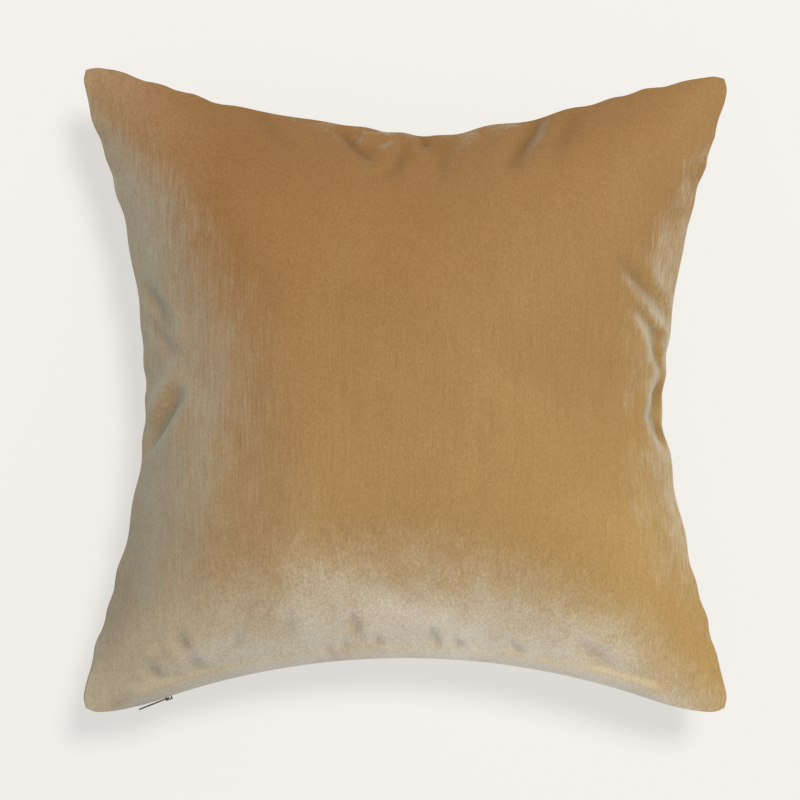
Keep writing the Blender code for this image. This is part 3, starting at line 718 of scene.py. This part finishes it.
sewing_thread = spun_thread("sewing_thread", (0.340, 0.205, 0.085), 2600.0)
SEAMS = {word: (word, -SEAM_END, SEAM_END) for word in ("left", "top", "right")}
SEAMS["bottom_left"] = ("zip", -SEAM_END, ZIP_SEAM_LEFT)
SEAMS["bottom_right"] = ("zip", ZIP_SEAM_RIGHT, SEAM_END)
for word, (side, start, end) in SEAMS.items():
    plan = seam_path(side, STITCH_INSET, start, end, STITCH_LENGTH / 4)
    swing = np.tile([0.0, STITCH_SWING, 0.0, -STITCH_SWING], len(plan) // 4 + 1)[: len(plan)]
    row = thread_curve(f"stitches_{word}", [np.column_stack([plan, SEAM_HEIGHT + swing])], THREAD)
    row.data.materials.append(sewing_thread)
    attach(row, "pillow")
    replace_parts(row, f"seam_thread_{word}")


# ---------------------------------------------------------------- overlocked edges
# Inside the cover the two raw velvet edges of each plain side are wrapped together by a looped
# edge stitch, so that the cut pile can't shed. It never shows from outside.

OVERLOCK_PITCH, OVERLOCK_END = 0.0022, 0.226
OVERLOCK_THREAD, OVERLOCK_WRAP, OVERLOCK_BITE = 0.00032, 0.0007, 0.0030
LOOP_ROOM, LOOP_CROWN = 0.0003, 0.0001
LOOP_ON, LOOP_BACK = 0.82, 0.18
overlock_thread = spun_thread("overlock_thread", (0.420, 0.270, 0.120), 1900.0)
over = SEAM_GAP / 2 + CLOTH_THICKNESS + LOOP_ROOM
crown, rim = over + LOOP_CROWN, over - LOOP_ROOM
for side in ("left", "top", "right"):
    edge = FOLD_ROUND + ALLOWANCE + OVERLOCK_WRAP
    outer_edge = seam_path(side, edge, -OVERLOCK_END, OVERLOCK_END, OVERLOCK_PITCH)
    inner_edge = seam_path(side, ALLOWANCE - OVERLOCK_BITE, -OVERLOCK_END, OVERLOCK_END, OVERLOCK_PITCH)
    count = min(len(outer_edge), len(inner_edge))
    loops = []
    for i in range(count - 1):
        low, high = outer_edge[i], inner_edge[i]
        half = (inner_edge[i] + inner_edge[i + 1]) / 2
        beside = LOOP_ON * outer_edge[i + 1] + LOOP_BACK * low
        there, back = (low + high) / 2, (low + half) / 2
        loops += [(*high, over), (*there, crown), (*low, rim), (*low, 0.0), (*low, -rim), (*back, -crown)]
        loops += [(*half, -over), (*back, -crown), (*beside, -rim), (*beside, 0.0), (*beside, rim)]
    wrapped = np.array(loops) + (0, 0, SEAM_HEIGHT)
    binding = thread_curve(f"overlock_loops_{side}", [wrapped], OVERLOCK_THREAD)
    binding.data.materials.append(overlock_thread)
    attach(binding, "pillow")
    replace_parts(binding, f"overlock_{side}")


# ---------------------------------------------------------------- zip
# A nylon coil zip in the lower side, dyed to the velvet. Each tape is sewn to a turned-in edge
# and carries a coil; the slider rides the two coils and its flat pull tab lies along the seam.

COIL_FROM, COIL_TO = -0.1854, 0.1674
COIL_DEPTH = 0.0068
COIL_HEIGHT = 0.00125
COIL_ROUND = 0.00052
COIL_WIRE = 0.00036
COIL_PITCH = 0.00125
TAPE_STITCH_FROM, TAPE_STITCH_TO = -0.1930, 0.1745
TAPE_STITCH_PITCH, TAPE_STITCH_LENGTH = 0.0030, 0.0024
TAPE_STITCH_DEPTH, TAPE_STITCH_HEIGHT = 0.0075, 0.0086
TAPE_THREAD = 0.00036


def track(along, inward, height):
    """Points on the zip's arc: along it from its middle, inward from the seam line."""
    angle = np.asarray(along) / TRACK_RADIUS
    reach = TRACK_RADIUS + np.asarray(inward)
    centre = -HALF + ZIP_PULL - TRACK_RADIUS
    x, y = reach * np.sin(angle), centre + reach * np.cos(angle)
    return np.stack([x, y, SEAM_HEIGHT + height + 0 * angle], axis=-1)


def nylon_coil():
    made, shader, links = new_material("zip_coil")
    shader.inputs["Specular IOR Level"].default_value = 0.5
    n = Nodes(made)
    cloud = n.noise(n.place.outputs["Object"], 900.0, 3.0, 0.6)
    links.new(n.mix(cloud, (0.300, 0.180, 0.070), (0.400, 0.250, 0.110)), shader.inputs["Base Color"])
    n.join(n.fade(cloud, 0.2, 0.8, 0.28, 0.46, False), shader.inputs["Roughness"])
    links.new(n.bump(cloud, 0.00003, 0.5), shader.inputs["Normal"])
    return made


def woven_tape():
    made, shader, links = new_material("zip_tape")
    shader.inputs["Specular IOR Level"].default_value = 0.2
    shader.inputs["Sheen Weight"].default_value = 0.15
    n = Nodes(made)
    x, _, z = n.apart(n.place.outputs["Object"])
    # herringbone: slanted ribs that turn back at each fold of the tape's height
    fold_back = n.sum("ABSOLUTE", n.sum("SUBTRACT", n.sum("FRACT", n.sum("MULTIPLY", z, 420.0)), 0.5))
    rib = n.sum("SINE", n.sum("MULTIPLY", n.sum("ADD", n.sum("MULTIPLY", fold_back, 0.0024), x), 8400.0))
    yarn = n.noise(n.place.outputs["Object"], 2400.0, 2.0, 0.6)
    shade = n.fade(n.sum("ADD", rib, yarn), -0.6, 1.6)
    links.new(n.mix(shade, (0.230, 0.130, 0.050), (0.420, 0.265, 0.115)), shader.inputs["Base Color"])
    n.join(n.fade(yarn, 0.2, 0.8, 0.70, 0.90, False), shader.inputs["Roughness"])
    links.new(n.bump(rib, 0.00008, 0.6, n.bump(yarn, 0.00005, 0.5)), shader.inputs["Normal"])
    return made


def aged_brass():
    made, shader, links = new_material("zip_metal")
    shader.inputs["Metallic"].default_value = 1.0
    n = Nodes(made)
    cloud = n.noise(n.place.outputs["Object"], 420.0, 4.0, 0.6)
    scratch = n.noise(n.stretched((1.0, 9.0, 1.0), (0, 0, 0.32)), 900.0, 2.0, 0.6)
    shade = n.mix(n.fade(cloud, 0.35, 0.68), (0.070, 0.050, 0.034), (0.210, 0.150, 0.085))
    wear_and_shade = n.mix(n.fade(scratch, 0.62, 0.80, 0.0, 0.5), shade, (0.520, 0.400, 0.240))
    links.new(wear_and_shade, shader.inputs["Base Color"])
    n.join(n.fade(scratch, 0.3, 0.8, 0.34, 0.58, False), shader.inputs["Roughness"])
    links.new(n.bump(scratch, 0.00003, 0.4), shader.inputs["Normal"])
    return made


coil_finish, tape_finish, metal_finish = nylon_coil(), woven_tape(), aged_brass()
turns = int((COIL_TO - COIL_FROM) / COIL_PITCH)
bar_bow = np.array([-0.00012, 0.00008, 0.00010, 0.00008, -0.00012])
for word, side in (("front", 1), ("back", -1)):
    turn = np.linspace(0, 2 * math.pi * turns, turns * 12 + 1) + (0 if side > 0 else math.pi)
    along = np.linspace(COIL_FROM, COIL_TO, len(turn))
    depth = COIL_DEPTH + COIL_ROUND * np.cos(turn)
    height = side * COIL_HEIGHT + COIL_ROUND * np.sin(turn)
    coil = thread_curve(f"coil_turns_{word}", [track(along, depth, height)], COIL_WIRE)
    coil.data.materials.append(coil_finish)
    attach(coil, "pillow")
    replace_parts(coil, f"zip_coil_{word}")
    bars = []
    for start in np.arange(TAPE_STITCH_FROM, TAPE_STITCH_TO, TAPE_STITCH_PITCH):
        place = np.linspace(start, start + TAPE_STITCH_LENGTH, len(bar_bow))
        bars.append(track(place, TAPE_STITCH_DEPTH + bar_bow, side * TAPE_STITCH_HEIGHT))
    row = thread_curve(f"tape_stitches_{word}", bars, TAPE_THREAD)
    row.data.materials.append(sewing_thread)
    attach(row, "pillow")
    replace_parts(row, f"zip_stitch_{word}")


def refinish(node, finish):
    """The CAD piece stays as it is and takes the detailed finish."""
    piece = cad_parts[node]
    piece.data.materials.clear()
    piece.data.materials.append(finish)


for node in ("zip_tape_front", "zip_tape_back"):
    refinish(node, tape_finish)
for node in ("zip_top_stop_front", "zip_top_stop_back", "zip_bottom_stop"):
    refinish(node, metal_finish)
for node in ("zip_slider_body", "zip_pull_tab"):
    refinish(node, metal_finish)


# ---------------------------------------------------------------- insert
# A plain cotton cushion inside the cover, a little smaller than it, so that its own seam lies
# clear of the velvet's turned-in edges. The case is two sheets of down-proof cotton.

INSERT_INSET = 0.0130
COTTON_THICKNESS = 0.0006
INSERT_ROOM = 0.0036
INSERT_LINES = 112
CASE_GAP, CASE_ROUND = 0.00035, 0.022
FILLING_INSET, FILLING_ROOM = 0.0016, 0.0008


def inside_cover(grid, side, inset, room, edge):
    """The filled shape again, room below the velvet and with its border inset from the seam."""
    lines = closer_lines(INSERT_LINES)
    fine, shape = velvet_panel(grid, side)[:2]
    normals = np.abs(outward(shape)[..., 2:])
    lowered = shape - (0, 0, side * room) / np.clip(normals, 0.25, 1)
    keep = 1 - inset / PANEL_REACH
    place = np.interp(lines * keep, fine, np.arange(PANEL_LINES + 1))
    low = np.clip(np.floor(place).astype(int), 0, PANEL_LINES - 1)
    t = (place - low)[:, None, None]
    read = lowered[low] * (1 - t) + lowered[low + 1] * t
    read = read.transpose(1, 0, 2)
    read = (read[low] * (1 - t) + read[low + 1] * t).transpose(1, 0, 2)
    U, V = np.meshgrid(lines, lines, indexing="ij")
    rounded = eased(from_border(U, V) / CASE_ROUND) ** 0.6
    read[..., 2] = side * (edge + np.maximum(0, side * read[..., 2] - edge) * rounded)
    return read


def cushion_half(name, outer, inner):
    """A closed sheet between two grids that share their border's plan."""
    count = outer.shape[0] * outer.shape[1]
    ids = np.arange(count).reshape(outer.shape[:2])
    a, b = ring_of(ids), ring_of(ids) + count
    rim = np.stack([a, b, np.roll(b, -1), np.roll(a, -1)], axis=1)
    faces = np.concatenate([quads(ids), quads(ids)[:, ::-1] + count, rim])
    points = np.concatenate([outer.reshape(-1, 3), inner.reshape(-1, 3)]) + (0, 0, SEAM_HEIGHT)
    mesh = bpy.data.meshes.new(name)
    mesh.from_pydata(points.tolist(), [], faces.tolist())
    bm = bmesh.new()
    bm.from_mesh(mesh)
    bmesh.ops.recalc_face_normals(bm, faces=bm.faces)
    bm.to_mesh(mesh)
    bm.free()
    mesh.shade_smooth()
    return placed(name, mesh)


def down_proof_cotton():
    made, shader, links = new_material("insert_cotton")
    shader.inputs["Specular IOR Level"].default_value = 0.25
    n = Nodes(made)
    x, y, _ = n.apart(n.place.outputs["Object"])
    warp = n.sum("SINE", n.sum("MULTIPLY", x, 11000.0))
    weft = n.sum("SINE", n.sum("MULTIPLY", y, 11000.0))
    weave = n.sum("MULTIPLY", warp, weft)
    slub = n.noise(n.stretched((1.0, 0.12, 1.0)), 900.0, 3.0, 0.6)
    crease_shading = n.noise(n.place.outputs["Object"], 28.0, 5.0, 0.6, 0.8)
    tone = n.mix(n.fade(slub, 0.3, 0.7), (0.700, 0.685, 0.640), (0.810, 0.800, 0.765))
    # painted shade in the low parts of the creases, where the bump sinks
    tone = n.mix(n.fade(crease_shading, 0.35, 0.65, 0.35, 0.0), tone, (0.600, 0.585, 0.545))
    tone = n.mix(n.fade(weave, -1.0, 1.0, 0.0, 0.25), tone, (0.880, 0.870, 0.840))
    links.new(tone, shader.inputs["Base Color"])
    n.join(n.fade(slub, 0.2, 0.8, 0.70, 0.88, False), shader.inputs["Roughness"])
    links.new(n.bump(crease_shading, 0.0025, 0.4, n.bump(weave, 0.00006, 0.5)), shader.inputs["Normal"])
    return made


def polyester_fibre():
    made, shader, links = new_material("insert_filling")
    shader.inputs["Sheen Weight"].default_value = 0.4
    shader.inputs["Subsurface Weight"].default_value = 0.1
    n = Nodes(made)
    clump = n.noise(n.place.outputs["Object"], 60.0, 5.0, 0.65, 1.2)
    strand = n.noise(n.stretched((1.0, 0.2, 0.5), (0.4, 0.2, 0.7)), 700.0, 3.0, 0.7, 1.5)
    tone = n.mix(n.fade(clump, 0.3, 0.7), (0.700, 0.700, 0.690), (0.880, 0.880, 0.870))
    tone = n.mix(n.fade(strand, 0.5, 0.75, 0.0, 0.5), tone, (0.950, 0.950, 0.940))
    links.new(tone, shader.inputs["Base Color"])
    n.join(n.fade(strand, 0.2, 0.8, 0.75, 0.95, False), shader.inputs["Roughness"])
    links.new(n.bump(clump, 0.003, 0.6, n.bump(strand, 0.0004, 0.6)), shader.inputs["Normal"])
    return made


cotton, fibre = down_proof_cotton(), polyester_fibre()
filled_sides = []
case_side, below_case = CUT_SIDE - 2 * INSERT_INSET, INSERT_ROOM + COTTON_THICKNESS
for side, grid, word in ((1, front_grid, "front"), (-1, back_grid, "back")):
    outer = inside_cover(grid, side, INSERT_INSET, INSERT_ROOM, CASE_GAP + COTTON_THICKNESS)
    inner = inside_cover(grid, side, INSERT_INSET, below_case, CASE_GAP)
    if side > 0:
        case_top = outer.reshape(-1, 3)
    case = cushion_half(f"cotton_case_{word}", outer, inner)
    case.data.materials.append(cotton)
    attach(case, "pillow")
    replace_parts(case, f"insert_case_{word}")
    inset, room = INSERT_INSET + FILLING_INSET, below_case + FILLING_ROOM
    filled_sides.append(inside_cover(grid, side, inset, room, 0.0))
filling = cushion_half("fibre_filling", *filled_sides)
filling.data.materials.append(fibre)
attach(filling, "pillow")
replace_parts(filling, "insert_filling")


# ---------------------------------------------------------------- insert threads and blank labels
# The insert's own seam and the hand-closed gap in it are cotton thread. Both labels are blank
# white satin ribbon: one in the cover's seam beside the zip, one in the insert's top seam.

LABEL_THICKNESS = 0.00025
LABEL_CLEARANCE = 0.0006
RIBBON_ROWS, RIBBON_LINES, RIBBON_PASSES = 160, 13, 40
RIBBON_FREE, RIBBON_SETTLE = 0.0112, 0.0040
case_thread = spun_thread("insert_thread", (0.780, 0.760, 0.700), 2600.0)
for node in ("insert_seam_thread", "insert_closing_thread"):
    refinish(node, case_thread)


def satin_ribbon():
    made, shader, links = new_material("label_satin")
    shader.inputs["Specular IOR Level"].default_value = 0.45
    shader.inputs["Anisotropic"].default_value = 0.5
    shader.inputs["Sheen Weight"].default_value = 0.3
    n = Nodes(made)
    warp = n.noise(n.stretched((1.0, 0.1, 0.1)), 3800.0, 2.0, 0.5)
    soft = n.noise(n.place.outputs["Object"], 120.0, 2.0, 0.5)
    tone = n.mix(n.sum("MULTIPLY", warp, soft), (0.700, 0.690, 0.660), (0.880, 0.875, 0.850))
    links.new(tone, shader.inputs["Base Color"])
    n.join(n.fade(warp, 0.2, 0.8, 0.26, 0.42, False), shader.inputs["Roughness"])
    links.new(n.bump(warp, 0.00003, 0.5), shader.inputs["Normal"])
    return made


def ribbon(name, side, x_range, start, length, level):
    """A ribbon caught in a seam, then lying on the insert: start is where it leaves the seam."""
    inset = start + np.linspace(0, length, RIBBON_ROWS)
    plan = seam_side(side, PLAN_POINTS)
    sign = -1 if side == "zip" else 1
    rows = []
    for x in np.linspace(*x_range, RIBBON_LINES):
        y = np.interp(x, plan[:, 0], plan[:, 1])
        flat = np.column_stack([np.full(RIBBON_ROWS, x), y - sign * inset])
        near = np.linalg.norm(case_top[None, :, :2] - flat[:, None], axis=2).argsort(axis=1)[:, :6]
        lying = case_top[near, 2].max(axis=1) + LABEL_CLEARANCE
        settled_down = eased((inset - RIBBON_FREE) / RIBBON_SETTLE)
        rows.append(np.column_stack([flat, level + (lying - level) * settled_down]))
    grid = np.array(rows)
    for _ in range(RIBBON_PASSES):
        grid[:, 1:-1, 2] = (grid[:, :-2, 2] + 2 * grid[:, 1:-1, 2] + grid[:, 2:, 2]) / 4
        grid[1:-1, :, 2] = (grid[:-2, :, 2] + 2 * grid[1:-1, :, 2] + grid[2:, :, 2]) / 4
    # the ribbon ends where its own length is used up
    middle = grid[RIBBON_LINES // 2]
    run = np.concatenate([[0.0], np.cumsum(np.linalg.norm(np.diff(middle, axis=0), axis=1))])
    last = max(8, int(np.searchsorted(run, length)))
    grid = grid[:, : last + 1]
    normals = outward(grid)
    normals *= np.sign(normals[..., 2:].mean())
    made = cushion_half(name, grid + normals * LABEL_THICKNESS / 2, grid - normals * LABEL_THICKNESS / 2)
    made.data.materials.append(satin)
    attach(made, "pillow")
    return made


satin = satin_ribbon()
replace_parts(ribbon("care_ribbon", "zip", (0.1920, 0.2140), 0.0030, 0.0280, 0.0), "care_label")
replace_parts(ribbon("case_ribbon", "top", (-0.0150, 0.0150), 0.0120, 0.0240, 0.0), "insert_label")


# ---------------------------------------------------------------- room, light and camera
# A plain pale floor under soft light from the upper right, seen from straight above. The floor
# gives off some light of its own, so that its tone stays even out to the corners of the view.

floor_mesh = bpy.data.meshes.new("floor")
floor_mesh.from_pydata([(-3, -3, 0), (3, -3, 0), (3, 3, 0), (-3, 3, 0)], [], [(0, 1, 2, 3)])
floor = placed("floor", floor_mesh)
paper, shader, _ = new_material("pale_paper")
shader.inputs["Base Color"].default_value = (0.30, 0.295, 0.285, 1)
shader.inputs["Roughness"].default_value = 1.0
shader.inputs["Specular IOR Level"].default_value = 0.0
shader.inputs["Emission Color"].default_value = (0.900, 0.882, 0.852, 1)
shader.inputs["Emission Strength"].default_value = 0.648
floor.data.materials.append(paper)

world = bpy.data.worlds.new("studio")
bpy.context.scene.world = world
world.use_nodes = True
world.node_tree.nodes["Background"].inputs["Color"].default_value = (1.0, 0.99, 0.97, 1)
world.node_tree.nodes["Background"].inputs["Strength"].default_value = 0.45

lamp = bpy.data.lights.new("window", "AREA")
lamp.shape = "DISK"
lamp.size = 1.0
lamp.energy = 125
lamp.color = (1.0, 0.985, 0.96)
key = placed("window", lamp)
key.location = (0.92, 1.30, 4.0)
key.rotation_euler = (Vector((0, 0, 0.08)) - key.location).to_track_quat("-Z", "Y").to_euler()

lens = bpy.data.cameras.new("camera")
lens.lens = 100
lens.sensor_width = 36
camera = placed("camera", lens)
camera.location = (-0.0038, -0.0083, 1.7606)
bpy.context.scene.camera = camera
bpy.context.scene.view_settings.view_transform = "Standard"
